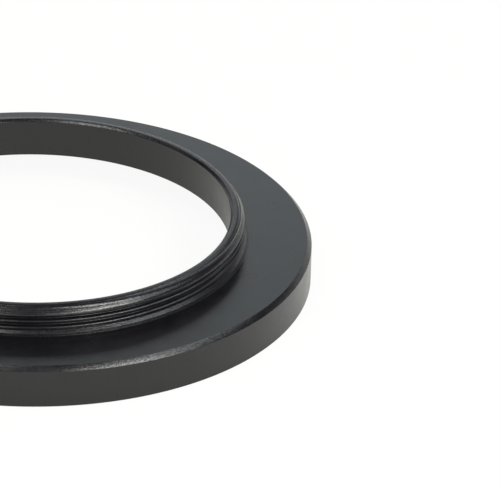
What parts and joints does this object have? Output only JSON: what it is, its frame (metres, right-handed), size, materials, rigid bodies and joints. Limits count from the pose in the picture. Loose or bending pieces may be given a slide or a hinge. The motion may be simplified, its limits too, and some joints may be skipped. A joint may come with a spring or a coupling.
{
  "type": "step-up ring",
  "caption": "Thin black threaded adapter ring: a small male thread screws into a lens, and a larger female thread below takes a wider filter.",
  "frame": {"origin": "centre of the lower rim face, the face that a filter's shoulder seats on, on the optical axis", "axes": "+Z along the optical axis towards the lens, from the female filter thread to the male collar"},
  "size_m": [0.06, 0.06, 0.0077],
  "materials": {
    "black_anodised": "satin"
  },
  "bodies": {
    "root": {"step_up_ring": "black_anodised"}
  },
  "joints": []
}
